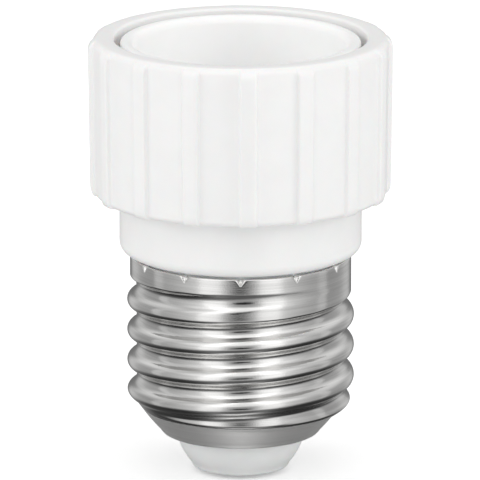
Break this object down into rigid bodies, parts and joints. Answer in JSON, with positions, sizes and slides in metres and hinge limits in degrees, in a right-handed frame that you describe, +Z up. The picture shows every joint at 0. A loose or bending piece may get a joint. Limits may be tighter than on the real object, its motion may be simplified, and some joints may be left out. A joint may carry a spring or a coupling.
{
  "type": "lamp socket adapter",
  "caption": "White lamp socket adapter: a ribbed twist-lock holder for two-pin lamps on a nickel-plated Edison screw cap.",
  "frame": {"origin": "on the axis, at the lowest point of the centre contact", "axes": "+Z up along the axis of the screw cap, out of the socket's mouth; the two pin holes lie on X and the two insert screws on Y"},
  "size_m": [0.0352, 0.0352, 0.0516],
  "materials": {
    "housing": "satin white",
    "tip": "satin white",
    "fibre": "matt",
    "nickel": "bright nickel plate",
    "brass": "plain",
    "zinc": "zinc plate",
    "copper": "bare copper",
    "silicone": "matt"
  },
  "bodies": {
    "root": {"outer_body": "housing", "socket_insert": "housing", "base_plate": "fibre", "plate_screw": "zinc", "insert_screw_front": "zinc", "insert_screw_back": "zinc", "contact_left": "nickel", "contact_right": "nickel", "contact_rivet_left": "brass", "contact_rivet_right": "brass", "terminal_left": "brass", "terminal_right": "brass", "centre_lead": "copper", "shell_lead": "copper", "centre_lead_sleeve": "silicone", "shell_lead_sleeve": "silicone", "screw_shell": "nickel", "tip_insulator": "tip", "centre_contact": "nickel", "contact_washer": "brass"}
  },
  "joints": []
}
